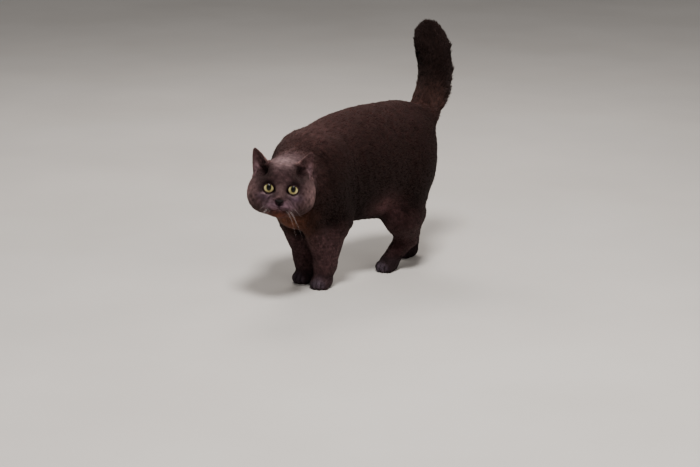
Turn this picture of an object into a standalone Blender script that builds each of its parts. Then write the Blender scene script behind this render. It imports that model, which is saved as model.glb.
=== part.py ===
"""A British Shorthair cat, life size, that stands with its tail raised and its head turned to its left.

The cat faces -Y, its left side is +X and the floor is z = 0, all in metres. The flesh is grown on a voxel
grid from rounded masses, named for the muscle or bone that each stands for, which melt into each other.
It is then cut into its parts with thin cuts. Ears, eyes and nose are solids of their own, set into the head.
"""

import math
from functools import partial

import bmesh
import bpy
import numpy as np
import openvdb
from mathutils import Euler, Matrix, Vector

# Driving dimensions. Heights are above the floor; y is 0 between the fore paws and grows to the rear.
BACK_HEIGHT = 0.304
BELLY_HEIGHT = 0.098
BARREL_HALF_WIDTH = 0.074
CHEST_HALF_WIDTH = 0.064
SHOULDER_HEIGHT = 0.266
RUMP_REAR = 0.288
LEG_SPREAD = 0.0245
FORE_PAW = {"left": 0.006, "right": 0.009}
HIND_PAW = {"left": 0.168, "right": 0.264}
KNEE = {"left": (0.189, 0.102), "right": (0.205, 0.130)}
HOCK = {"left": (0.209, 0.060), "right": (0.290, 0.079)}
PAW_HALF_WIDTH = 0.0172
TOE_RADII = (0.0058, 0.0085, 0.0095)
TAIL_RADIUS = 0.0295
EYES_MIDPOINT = Vector((0.066, -0.123, 0.206))
HEAD_TURN = Euler((math.radians(-7), math.radians(4.5), math.radians(45.5)), "XYZ")
HEAD_HALF_WIDTH = 0.0586
EYE_RADIUS = 0.0108
EYE_SPACING = 0.0412
NOSE = (0, -0.0180, -0.0212)
NOSE_RADII = (0.0088, 0.0052, 0.0058)
EAR_DEPTH = 0.013
EAR_TIP_OUT = {1: 0.0480, -1: 0.0525}
EAR_THICKNESS = 0.0024

# How widely masses melt into each other.
SOFT_FLESH = 0.030
SOFT_LIMB = 0.018
SOFT_SKULL = 0.012
SOFT_ANKLE = 0.008
SOFT_FEATURE = 0.005
SOFT_TOE = 0.0022

GAP = 0.0003
VOXEL = 0.0022
BODY_TRIANGLES = 4900
EAR_ROWS = 7
EAR_COLUMNS = 6
EAR_BLUNTNESS = 0.7
EYE_SEGMENTS = (16, 10)
NOSE_SEGMENTS = (10, 6)
FACE_DEPTH = 0.020
FINE_WEIGHT = 0.5
FINE_FACTOR = 1e-4
FAR = 0.05
SIDES = {"left": 1, "right": -1}

# Where the flesh is cut into parts. Leg cuts rise outward: (inner height, outer height, front, rear).
PAW_CUT = 0.030
PAW_REACH = 0.04
FORELEG_CUT = (0.088, 0.150, -0.060, 0.075)
HINDLEG_CUT = (0.085, 0.140, 0.135, 0.360)
NAPE = (0, 0.060, 0)
NAPE_TO_FACE = Vector((0.50, -0.82, 0.27))
COLLAR = Vector((0.013, -0.046, 0.206))
COLLAR_TO_NAPE = Vector((0.333, -0.918, -0.207))
TAIL_ROOT = Vector((0, 0.281, 0.279))
TAIL_ROOT_TO_TIP = Vector((0, 0.50, 0.87))
REGION_REACH = 0.11

COATS = {
    "coat_body": ((0.030, 0.024, 0.025), 0.9),
    "coat_head": ((0.070, 0.064, 0.074), 0.9),
    "coat_legs": ((0.036, 0.030, 0.034), 0.9),
    "coat_tail": ((0.022, 0.017, 0.017), 0.9),
    "coat_ear": ((0.040, 0.031, 0.036), 0.9),
    "iris": ((0.56, 0.60, 0.20), 0.05),
    "nose_leather": ((0.012, 0.010, 0.011), 0.4),
}


class Clay:
    """Rounded masses melted together on a voxel grid that holds the distance to their surface."""

    def __init__(self, low, high, voxel):
        self.low = np.array(low)
        self.voxel = voxel
        shape = np.ceil((np.array(high) - self.low) / voxel).astype(int)
        self.distance = np.full(shape, FAR, np.float32)

    def around(self, centre, reach):
        """The part of the grid within reach of a centre, and the points of its voxels."""
        first = np.floor((np.array(centre) - reach - self.low) / self.voxel).astype(int)
        last = np.ceil((np.array(centre) + reach - self.low) / self.voxel).astype(int)
        first = np.clip(first, 0, self.distance.shape)
        last = np.clip(last, first, self.distance.shape)
        part = tuple(slice(a, b) for a, b in zip(first, last))
        axes = [self.low[k] + self.voxel * np.arange(first[k], last[k]) for k in range(3)]
        return part, np.stack(np.meshgrid(*axes, indexing="ij"), axis=-1)

    def melt(self, part, added, softness):
        """Joins a mass to the clay, with a fillet about as wide as its softness."""
        here = self.distance[part]
        blend = np.maximum(softness - np.abs(here - added), 0) / softness
        self.distance[part] = np.minimum(here, added) - blend * blend * softness / 4

    def carve(self, part, removed, softness):
        """Takes a mass away from the clay, with a soft rim."""
        here = self.distance[part]
        blend = np.maximum(softness - np.abs(here + removed), 0) / softness
        self.distance[part] = np.maximum(here, -removed) + blend * blend * softness / 4

    def ball(self, at, radii, softness, turn=None, hollow=False):
        """An ellipsoid. Its turn is a rotation matrix."""
        radii = np.array(radii)
        part, points = self.around(at, radii.max() + 2 * softness)
        local = points - np.array(at)
        if turn is not None:
            local = local @ np.array(turn)
        scaled = np.linalg.norm(local / radii, axis=-1)
        slope = np.linalg.norm(local / radii**2, axis=-1) + 1e-9
        (self.carve if hollow else self.melt)(part, scaled * (scaled - 1) / slope, softness)

    def bone(self, start, end, start_radius, end_radius, softness):
        """A round limb that tapers between two points."""
        start, end = np.array(start), np.array(end)
        reach = np.linalg.norm(end - start) / 2 + max(start_radius, end_radius) + 2 * softness
        part, points = self.around((start + end) / 2, reach)
        along = (points - start) @ (end - start) / np.dot(end - start, end - start)
        along = np.clip(along, 0, 1)[..., None]
        to_axis = np.linalg.norm(points - start - along * (end - start), axis=-1)
        self.melt(part, to_axis - (start_radius + along[..., 0] * (end_radius - start_radius)), softness)

    def chain(self, stations, softness):
        """Bones end to end through (point, radius) stations."""
        for (start, start_radius), (end, end_radius) in zip(stations, stations[1:]):
            self.bone(start, end, start_radius, end_radius, softness)

    def mesh(self, name):
        """The clay's surface as a mesh object."""
        grid = openvdb.FloatGrid(FAR)
        grid.copyFromArray(self.distance)
        points, quads = grid.convertToQuads()
        made = bpy.data.meshes.new(name)
        made.from_pydata((points * self.voxel + self.low).tolist(), [], quads.tolist())
        made.validate()
        obj = bpy.data.objects.new(name, made)
        bpy.context.scene.collection.objects.link(obj)
        return obj


def head_point(x, y, z):
    """A point in the head's own frame, x to its left, y to its back and z up, in the cat's frame."""
    return EYES_MIDPOINT + HEAD_TURN.to_matrix() @ Vector((x, y, z))


def model_trunk(clay):
    middle = (BACK_HEIGHT + BELLY_HEIGHT) / 2
    depth = (BACK_HEIGHT - BELLY_HEIGHT) / 2
    barrel = (0, 0.150, middle - 0.005)
    ribs = (0, 0.060, middle - 0.004)
    loin = (0, 0.135, BACK_HEIGHT - 0.068)
    rump = (0, RUMP_REAR - 0.072, 0.228)
    withers = (0, 0.000, SHOULDER_HEIGHT - 0.048)
    breast = (0, -0.032, 0.160)
    clay.ball(barrel, (BARREL_HALF_WIDTH, 0.112, depth - 0.005), SOFT_FLESH)
    clay.ball(ribs, (CHEST_HALF_WIDTH, 0.100, depth - 0.010), SOFT_FLESH)
    clay.ball(loin, (0.056, 0.150, 0.068), SOFT_FLESH)
    clay.ball(rump, (0.056, 0.072, 0.072), SOFT_FLESH)
    clay.ball(withers, (0.046, 0.060, 0.048), SOFT_FLESH)
    clay.ball(breast, (0.047, 0.040, 0.051), SOFT_FLESH)
    for side in SIDES.values():
        shoulder_blade = (side * 0.038, 0.008, 0.205)
        clay.ball(shoulder_blade, (0.031, 0.050, 0.066), SOFT_LIMB)


def model_neck(clay):
    clay.bone((0, -0.010, 0.211), head_point(0, 0.050, -0.004), 0.053, 0.043, SOFT_FLESH)


def model_foreleg(clay, name, side):
    paw = Vector((side * LEG_SPREAD, FORE_PAW[name], 0))
    shoulder = Vector((side * 0.042, -0.004, 0.190))
    elbow = Vector((side * 0.040, 0.025, 0.128))
    forearm = Vector((side * 0.031, -0.022, 0.136))
    wrist = paw + Vector((side * 0.004, 0.005, 0.046))
    clay.chain([(shoulder, 0.034), (elbow, 0.0280), (wrist, 0.0195)], SOFT_LIMB)
    clay.bone(forearm, wrist, 0.0255, 0.0170, SOFT_ANKLE)
    clay.bone(wrist, paw + Vector((0, 0.003, 0.018)), 0.0200, 0.0165, SOFT_ANKLE)
    model_paw(clay, paw, math.radians(side * 8 + 12))


def model_hindleg(clay, name, side):
    paw = Vector((side * (LEG_SPREAD - 0.001), HIND_PAW[name], 0))
    hip = Vector((side * 0.033, 0.211, 0.205))
    buttock = Vector((side * 0.030, 0.229, 0.178))
    knee = Vector((side * 0.041, *KNEE[name]))
    hock = Vector((side * 0.031, *HOCK[name]))
    clay.ball(hip, (0.036, 0.058, 0.070), SOFT_LIMB)
    clay.chain([(hip, 0.043), (knee, 0.0335), (hock, 0.0185)], SOFT_LIMB)
    clay.chain([(buttock, 0.033), (hock, 0.0185)], SOFT_LIMB)
    clay.bone(hock, paw + Vector((0, 0.007, 0.019)), 0.0175, 0.0158, SOFT_ANKLE)
    model_paw(clay, paw, math.radians(side * 6))


def model_paw(clay, paw, heading):
    """A foot with four toes, that points the way of its heading, turned from -Y to +X."""
    turn = Matrix.Rotation(heading, 3, "Z")
    clay.ball(paw + Vector((0, 0.002, 0.012)), (PAW_HALF_WIDTH, 0.0195, 0.0155), SOFT_FEATURE, turn)
    for across, ahead in ((-0.0120, 0.0095), (-0.0043, 0.0150), (0.0043, 0.0150), (0.0120, 0.0095)):
        toe = paw + turn @ Vector((across, -ahead, 0.0080))
        clay.ball(toe, TOE_RADII, SOFT_TOE, turn)


def model_tail(clay):
    path = [
        ((0, 0.260, 0.255), 1.08),
        ((0, 0.288, 0.286), 1.02),
        ((0, 0.304, 0.318), 1.01),
        ((0, 0.308, 0.350), 1.00),
        ((0, 0.304, 0.380), 1.02),
        ((0, 0.296, 0.402), 0.98),
        ((0, 0.291, 0.416), 0.90),
    ]
    clay.chain([(point, share * TAIL_RADIUS) for point, share in path], SOFT_SKULL)


def model_head(clay):
    turn = HEAD_TURN.to_matrix()

    def ball(at, radii, softness, hollow=False):
        clay.ball(head_point(*at), radii, softness, turn, hollow)

    cranium = (0, 0.048, 0.006)
    forehead = (0, 0.026, 0.021)
    jaw = (0, 0.016, -0.0325)
    muzzle = (0, -0.001, -0.022)
    chin = (0, -0.006, -0.0380)
    ball(cranium, (0.048, 0.048, 0.043), SOFT_LIMB)
    ball(forehead, (0.037, 0.0275, 0.027), SOFT_SKULL)
    ball(jaw, (0.0365, 0.034, 0.0165), SOFT_SKULL)
    ball(muzzle, (0.022, 0.018, 0.0150), SOFT_SKULL)
    for side in SIDES.values():
        cheek = (side * (HEAD_HALF_WIDTH - 0.030), 0.033, -0.008)
        whisker_pad = (side * 0.0108, -0.0100, -0.0265)
        jowl = (side * (HEAD_HALF_WIDTH - 0.0280), 0.030, -0.0215)
        brow = (side * 0.020, 0.0115, 0.0135)
        ball(cheek, (0.030, 0.030, 0.031), SOFT_SKULL)
        ball(jowl, (0.0240, 0.026, 0.0225), SOFT_SKULL)
        ball(whisker_pad, (0.0128, 0.0105, 0.0092), SOFT_FEATURE)
        ball(brow, (0.015, 0.012, 0.0092), SOFT_FEATURE)
    clay.bone(head_point(0, 0.008, 0.009), head_point(0, -0.0135, -0.0130), 0.0130, 0.0075, SOFT_FEATURE)
    ball(chin, (0.0130, 0.0095, 0.0085), SOFT_SKULL)
    for side in SIDES.values():
        eye_opening = (side * EYE_SPACING / 2, -0.004, 0)
        ear_opening = (side * 0.0345, 0.0150, 0.0295)
        ball(eye_opening, (0.0088, 0.010, 0.0088), SOFT_FEATURE, hollow=True)
        ball(ear_opening, (0.0105, 0.0155, 0.0120), SOFT_FEATURE, hollow=True)


def ear_point(side, across, rise):
    """A point of the ear's sheet. Across is -1 to 1 between its edges, rise 0 to 1 from base to tip."""
    inner = Vector((side * 0.0175, 0.0110, 0.0320))
    outer = Vector((side * 0.0470, 0.0300, 0.0070))
    tip = Vector((side * EAR_TIP_OUT[side], 0.0360, 0.0630))
    root = Vector((side * 0.0270, 0.0260, 0.0100))
    middle = (inner + outer) / 2
    width = (1 - max(rise, 0) ** 1.4) ** 0.8
    centre = root if rise < 0 else middle.lerp(tip, rise)
    hollow = EAR_DEPTH * (1 - across**2) * width**2 * Vector((-side * 0.35, 0.94, 0))
    return head_point(*(centre + (outer - inner) / 2 * across * width + hollow))


def model_flesh():
    """The whole animal without its ears and eyes, as one mesh object."""
    clay = Clay((-0.11, -0.20, -0.012), (0.16, 0.36, 0.47), VOXEL)
    model_trunk(clay)
    model_neck(clay)
    for name, side in SIDES.items():
        model_foreleg(clay, name, side)
        model_hindleg(clay, name, side)
    model_tail(clay)
    model_head(clay)
    return clay.mesh("flesh")


def copy_of(obj, name):
    twin = bpy.data.objects.new(name, obj.data.copy())
    bpy.context.scene.collection.objects.link(twin)
    return twin


def apply_modifiers(obj):
    depsgraph = bpy.context.evaluated_depsgraph_get()
    mesh = bpy.data.meshes.new_from_object(obj.evaluated_get(depsgraph))
    obj.modifiers.clear()
    obj.data = mesh


def cut(obj, cutter, operation):
    """Applies a Boolean to an object and removes the cutter."""
    boolean = obj.modifiers.new("cut", "BOOLEAN")
    boolean.operation = operation
    boolean.object = cutter
    apply_modifiers(obj)
    bpy.data.objects.remove(cutter)


def thin_out(obj, triangles):
    """Decimates a dense mesh, but keeps the face and the feet finer than the rest."""
    mesh = obj.data
    group = obj.vertex_groups.new(name="coarse")
    to_head = (HEAD_TURN.to_matrix().to_4x4()).inverted() @ Matrix.Translation(-EYES_MIDPOINT)
    for vertex in mesh.vertices:
        in_head = to_head @ vertex.co
        fine = in_head.y < FACE_DEPTH or vertex.co.z < PAW_CUT
        group.add([vertex.index], FINE_WEIGHT if fine else 1.0, "REPLACE")
    decimate = obj.modifiers.new("decimate", "DECIMATE")
    decimate.ratio = triangles / (2 * len(mesh.polygons))
    decimate.vertex_group = group.name
    decimate.vertex_group_factor = FINE_FACTOR
    apply_modifiers(obj)
    obj.vertex_groups.clear()


def bar(low, high):
    """A box between two corners."""
    low, high = Vector(low), Vector(high)
    bpy.ops.mesh.primitive_cube_add(size=1)
    box = bpy.context.object
    box.data.transform(Matrix.Translation((low + high) / 2) @ Matrix.Diagonal((*(high - low), 1)))
    return box


def leg_region(side, inner, outer, front, rear, lift):
    """All below a plane that rises outward from the middle of the body."""
    reach = (0, REGION_REACH) if side > 0 else (-REGION_REACH, 0)
    region = bar((reach[0], front, -PAW_CUT), (reach[1], rear, PAW_CUT))
    for vertex in region.data.vertices:
        if vertex.co.z > 0:
            vertex.co.z = inner + (outer - inner) * abs(vertex.co.x) / REGION_REACH + lift
    return region


def box_region(face, direction, lift):
    """A box that starts at a face's middle and goes the way of its direction."""
    region = bar((-REGION_REACH, -REGION_REACH, -lift), (REGION_REACH, REGION_REACH, 2 * REGION_REACH))
    region.data.transform(Matrix.Translation(face) @ direction.to_track_quat("Z", "Y").to_matrix().to_4x4())
    return region


def face_outward(obj):
    shell = bmesh.new()
    shell.from_mesh(obj.data)
    bmesh.ops.recalc_face_normals(shell, faces=shell.faces)
    shell.to_mesh(obj.data)
    shell.free()


def regions():
    """Every part of the flesh but the trunk, in the order of cutting, with what makes its region."""
    made = {}
    for name, side in SIDES.items():
        for limb, paws, cuts in (("fore", FORE_PAW, FORELEG_CUT), ("hind", HIND_PAW, HINDLEG_CUT)):
            front, rear = paws[name] - PAW_REACH, paws[name] + PAW_REACH
            made[limb + "paw_" + name] = partial(leg_region, side, PAW_CUT, PAW_CUT, front, rear)
            made[limb + "leg_" + name] = partial(leg_region, side, *cuts)
    made["head"] = partial(box_region, head_point(*NAPE), NAPE_TO_FACE)
    made["neck"] = partial(box_region, COLLAR, COLLAR_TO_NAPE)
    made["tail"] = partial(box_region, TAIL_ROOT, TAIL_ROOT_TO_TIP)
    return made


def divide(flesh):
    """Parts the flesh with thin cuts and returns every part by name."""
    parts = {}
    for name, region in regions().items():
        part = copy_of(flesh, name)
        cut(part, region(0), "INTERSECT")
        cut(flesh, region(GAP), "DIFFERENCE")
        parts[name] = part
    flesh.name = "trunk"
    parts["trunk"] = flesh
    return parts


def make_ball(name, centre, radii, segments, rings):
    bpy.ops.mesh.primitive_uv_sphere_add(segments=segments, ring_count=rings, radius=1)
    ball = bpy.context.object
    ball.name = name
    place = Matrix.Translation(centre) @ HEAD_TURN.to_matrix().to_4x4()
    ball.data.transform(place @ Matrix.Diagonal((*radii, 1)) @ Matrix.Rotation(math.pi / 2, 4, "X"))
    return ball


def make_ear(name, side, head):
    bpy.ops.mesh.primitive_grid_add(x_subdivisions=EAR_COLUMNS, y_subdivisions=EAR_ROWS, size=2)
    ear = bpy.context.object
    ear.name = name
    for vertex in ear.data.vertices:
        row = round((vertex.co.y + 1) / 2 * EAR_ROWS) - 1
        vertex.co = ear_point(side, vertex.co.x, row / (EAR_ROWS - EAR_BLUNTNESS))
    solid = ear.modifiers.new("thickness", "SOLIDIFY")
    solid.thickness = EAR_THICKNESS
    solid.offset = 0
    apply_modifiers(ear)
    face_outward(ear)
    cutter = copy_of(head, "cutter")
    normals = [vertex.normal.copy() for vertex in cutter.data.vertices]
    for vertex, normal in zip(cutter.data.vertices, normals):
        vertex.co += normal * GAP
    cut(ear, cutter, "DIFFERENCE")
    return ear


def make_eyes_and_nose(parts):
    """Sets the eyes and the nose leather into pockets in the head, a gap apart from it."""
    places = {"nose": (head_point(*NOSE), NOSE_RADII, NOSE_SEGMENTS)}
    for name, side in SIDES.items():
        centre = head_point(side * EYE_SPACING / 2, EYE_RADIUS, 0)
        places["eye_" + name] = (centre, (EYE_RADIUS,) * 3, EYE_SEGMENTS)
    for name, (centre, radii, segments) in places.items():
        parts[name] = make_ball(name, centre, radii, *segments)
        pocket = [radius + GAP for radius in radii]
        cut(parts["head"], make_ball("cutter", centre, pocket, *segments), "DIFFERENCE")


def coat_of(name):
    """The material that a part wears, by the first word of its name."""
    word = name.split("_")[0]
    plain = "coat_body" if word in ("trunk", "neck") else "coat_legs"
    own = {"head": "coat_head", "tail": "coat_tail", "ear": "coat_ear"}
    own |= {"eye": "iris", "nose": "nose_leather"}
    return own.get(word, plain)


def make_coats():
    coats = {}
    for name, (colour, roughness) in COATS.items():
        coat = bpy.data.materials.new(name)
        coat.use_nodes = True
        shader = coat.node_tree.nodes["Principled BSDF"]
        shader.inputs["Base Color"].default_value = (*colour, 1)
        shader.inputs["Roughness"].default_value = roughness
        coats[name] = coat
    return coats


def finish(parts):
    """Puts the origin under the middle of the whole, and gives every part its collection and material."""
    corners = np.array([corner for part in parts.values() for corner in part.bound_box])
    low, high = corners.min(axis=0), corners.max(axis=0)
    home = Matrix.Translation((-(low[0] + high[0]) / 2, -(low[1] + high[1]) / 2, -low[2]))
    collection = bpy.data.collections.new("cat")
    bpy.context.scene.collection.children.link(collection)
    coats = make_coats()
    for name, part in parts.items():
        part.data.transform(home)
        part.data.materials.clear()
        part.data.materials.append(coats[coat_of(name)])
        for old in list(part.users_collection):
            old.objects.unlink(part)
        collection.objects.link(part)


def main():
    for obj in list(bpy.data.objects):
        bpy.data.objects.remove(obj)
    flesh = model_flesh()
    thin_out(flesh, BODY_TRIANGLES)
    cut(flesh, bar((-1, -1, -1), (1, 1, 0)), "DIFFERENCE")
    parts = divide(flesh)
    for name, side in SIDES.items():
        parts["ear_" + name] = make_ear("ear_" + name, side, parts["head"])
    make_eyes_and_nose(parts)
    finish(parts)


main()
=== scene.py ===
"""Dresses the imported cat: one skin over its flesh, a plush coat of tufts, eyes, nose and whiskers.

Every place comes from the frame's nodes. The head has a frame of its own, with its origin between the
fronts of the eyes, x to the cat's left, y to its back and z up. All lengths are in metres.
"""

import math

import bmesh
import bpy
import numpy as np
from mathutils import Euler, Matrix, Vector
from mathutils.kdtree import KDTree


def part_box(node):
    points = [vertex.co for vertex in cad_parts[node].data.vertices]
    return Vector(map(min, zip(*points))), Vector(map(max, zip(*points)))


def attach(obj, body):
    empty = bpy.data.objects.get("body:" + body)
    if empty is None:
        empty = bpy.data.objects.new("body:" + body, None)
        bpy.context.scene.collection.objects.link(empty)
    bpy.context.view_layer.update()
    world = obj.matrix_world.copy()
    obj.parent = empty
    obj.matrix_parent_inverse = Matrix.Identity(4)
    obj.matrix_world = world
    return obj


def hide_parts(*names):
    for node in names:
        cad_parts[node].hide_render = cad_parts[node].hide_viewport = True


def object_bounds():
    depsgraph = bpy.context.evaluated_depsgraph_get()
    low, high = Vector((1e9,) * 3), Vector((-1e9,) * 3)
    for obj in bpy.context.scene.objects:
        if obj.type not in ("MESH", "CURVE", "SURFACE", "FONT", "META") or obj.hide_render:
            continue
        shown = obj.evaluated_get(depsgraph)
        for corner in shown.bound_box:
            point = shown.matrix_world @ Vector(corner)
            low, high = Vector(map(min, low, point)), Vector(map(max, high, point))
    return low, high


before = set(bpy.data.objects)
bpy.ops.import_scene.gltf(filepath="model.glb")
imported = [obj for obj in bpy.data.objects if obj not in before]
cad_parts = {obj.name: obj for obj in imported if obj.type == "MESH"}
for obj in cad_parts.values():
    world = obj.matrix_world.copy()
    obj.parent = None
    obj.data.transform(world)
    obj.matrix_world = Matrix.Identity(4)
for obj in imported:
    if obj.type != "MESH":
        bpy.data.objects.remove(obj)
cad_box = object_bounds()

# The head, as the solids have it.
HEAD_TURN = Euler((math.radians(-7), math.radians(4.5), math.radians(45.5)), "XYZ")
EYE_RADIUS = 0.0108
EYE_SPACING = 0.0412
SIDES = {"left": 1, "right": -1}

# The skin, and how much deeper it lies under the coat at the back of the head.
SEAM_OVERLAP = 0.0004
SKIN_VOXEL = 0.0021
BACK_OF_HEAD = (0.01, 0.05)
BACK_OF_HEAD_DEPTH = 0.0022

# Where the skin's mesh is finer: in a ball and, finer still, a box in the head's frame, and low on the feet.
SKULL_MIDDLE = (0, 0.035, 0)
SKULL_RADIUS = 0.074
SKULL_REAR = 0.09
FACE_BOX = np.array(((-0.038, -1, -0.046), (0.038, 0.022, 0.018)))
FINE_FEET = 0.026

# The lids. The opening reaches further at the corner by the nose, and less under the upper lid.
LID_OPENING = 0.008
OPENING_DROP = 0.0007
LID_THICKNESS = 0.0012
LEAST_LID = 0.6 * LID_THICKNESS
LID_WIDTH = 0.0008
LID_EDGE = 0.00035
BEHIND_EYE = 0.0022
EYE_REAR = 0.02
LID_REAR = 0.025
LID_REACH = 0.02
CORNER_WAY = math.radians(203)
CORNER_SPREAD = 0.32
CORNER_REACH = 0.2
UPPER_LID_DROP = 0.1

# The nose leather and the mouth.
NOSE_HALF_WIDTH = 0.0083
NOSE_TOP = 0.0052
NOSE_POINT = -0.0046
NOSE_SLOPE = 0.16
NOSE_TAPER = 1.3
NOSE_FRONT = 0.002
MUZZLE_MIDDLE = (0, 0.012, -0.018)
MUZZLE_SIDES = (0.002, 0.01)
MOUTH_MIDDLE = -0.0308
MOUTH_DROP = 0.0038
MOUTH_CORNER = 0.0085
MOUTH_DEPTH = 0.0016
GROOVE_WIDTH = 0.0009
GROOVE_BOTTOM = -0.0312

# Swellings of the face in the head's frame: centre, radii, height.
PAD_SWELLS = [
    ((0.0115, -0.015, -0.0275), (0.01, 0.012, 0.0062), 0.0022),
    ((0.023, 0.002, -0.038), (0.013, 0.018, 0.008), 0.001),
]

# Hollows in front of the ears: centre, radii, depth. They are pressed in along one way, given for the left.
EAR_HOLLOWS = [
    ((0.0365, 0.019, 0.026), (0.01, 0.013, 0.011), 0.002),
    ((0.029, 0.006, 0.026), (0.0085, 0.013, 0.0085), 0.008),
]
HOLLOW_WAY = (-0.2, 0.9, -0.2)

# An ear's corners in the head's frame as on the left, with a tip for each side, and how it is cupped.
EAR_INNER = np.array((0.0175, 0.011, 0.032))
EAR_OUTER = np.array((0.047, 0.03, 0.007))
EAR_TIPS = {1: np.array((0.048, 0.036, 0.063)), -1: np.array((0.0525, 0.036, 0.063))}
EAR_CUP = 0.013 * np.array((-0.35, 0.94, 0))

# Where the paws stand, to the left and to the rear of between the fore paws, and their headings in degrees.
PAWS = {
    "forepaw_left": (0.0245, 0.006, 20),
    "forepaw_right": (-0.0245, 0.009, 4),
    "hindpaw_left": (0.0235, 0.168, 6),
    "hindpaw_right": (-0.0235, 0.264, -6),
}
PAW_FRONT = 0.03
PAW_TOP = 0.03
TOE_GAPS = (-0.0082, 0, 0.0082)
TOE_GAP_DEPTH = 0.0016
TOE_GAP_WIDTH = 0.001
TOES_HALF_WIDTH = 0.016
TOES_AHEAD = (0.006, 0.012)
TOES_UP = (0.011, 0.017)
PALE_TOES_HALF_WIDTH = 0.022
PALE_TOES_AHEAD = (0.011, 0.021)
PALE_TOES_UP = (0.002, 0.006)

# For each kind of region: how far the skin is smoothed, how deep the coat over it is, the tufts' length,
# width, lift in degrees and crowding, and the coat's base colour, linear. The base colours differ between
# regions partly by the coat's own tone and partly by painted light and shade: lightest on the head, ears and
# forelegs, darkest on the trunk and tail.
TRAITS = ("smooth", "depth", "length", "width", "lift", "crowd", "colour")
REGIONS = {
    "trunk": (1.0, 0.0034, 0.011, 0.00084, 12, 1.0, (0.0086, 0.0039, 0.0036)),
    "neck": (0.8, 0.0032, 0.01, 0.00082, 12, 1.0, (0.019, 0.0094, 0.009)),
    "head": (0.13, 0.0014, 0.0056, 0.00066, 9, 1.0, (0.045, 0.025, 0.0275)),
    "tail": (0.8, 0.007, 0.014, 0.00088, 15, 1.0, (0.0092, 0.0045, 0.0038)),
    "foreleg": (0.5, 0.0018, 0.007, 0.00075, 11, 1.0, (0.06, 0.031, 0.0335)),
    "hindleg": (0.6, 0.0022, 0.008, 0.0008, 12, 1.0, (0.034, 0.0165, 0.0175)),
    "forepaw": (0.04, 0.0005, 0.0026, 0.00055, 8, 1.5, (0.033, 0.019, 0.022)),
    "hindpaw": (0.04, 0.0005, 0.0026, 0.00055, 8, 1.5, (0.016, 0.0098, 0.0118)),
    "ear": (0.0, 0.0002, 0.0024, 0.00042, 7, 1.0, (0.05, 0.026, 0.027)),
}
KINDS = list(REGIONS)

# How the base colours change: painted light on the back and painted shade on the belly up the trunk, a change
# up the tail, a change at the tops of the legs, and painted light and shade across the forelegs' creases.
BACK_PAINTED_LIGHT = 4.0
BELLY_PAINTED_SHADE = 0.38
BACK_RISE = 2.2
TAIL_ROOT_SHADE = 2.7
TAIL_TIP_SHADE = 0.42
LEG_TOPS = (0.085, 0.15)
LEG_TOP_SHADE = 2.2
LEG_TOP_SHARE = 0.8
CREASED_ABOVE = (0.035, 0.06)
CREASES_PER_METRE = 150
CREASE_PAINTED_LIGHT_AND_SHADE = 0.45
CREASE_WANDER = 1.6

# Tones of the body, and painted light and shade on it: centre from between the fore paws, radii, whether on
# both sides, colour, strength.
BODY_TONES_AND_PAINTED_LIGHT = [
    ((0.054, 0.125, 0.13), (0.022, 0.028, 0.026), False, (0.13, 0.062, 0.066), 0.85),
    # Painted warm light reflected onto the chest from below.
    ((0.008, -0.055, 0.128), (0.032, 0.025, 0.04), False, (0.17, 0.06, 0.03), 0.75),
    # Painted shade on the flanks.
    ((0.068, 0.05, 0.16), (0.024, 0.04, 0.06), True, (0.0035, 0.0018, 0.0017), 0.85),
    # Painted light on the top of the withers.
    ((0, 0.01, 0.262), (0.055, 0.045, 0.032), False, (0.074, 0.038, 0.037), 0.7),
]

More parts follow.
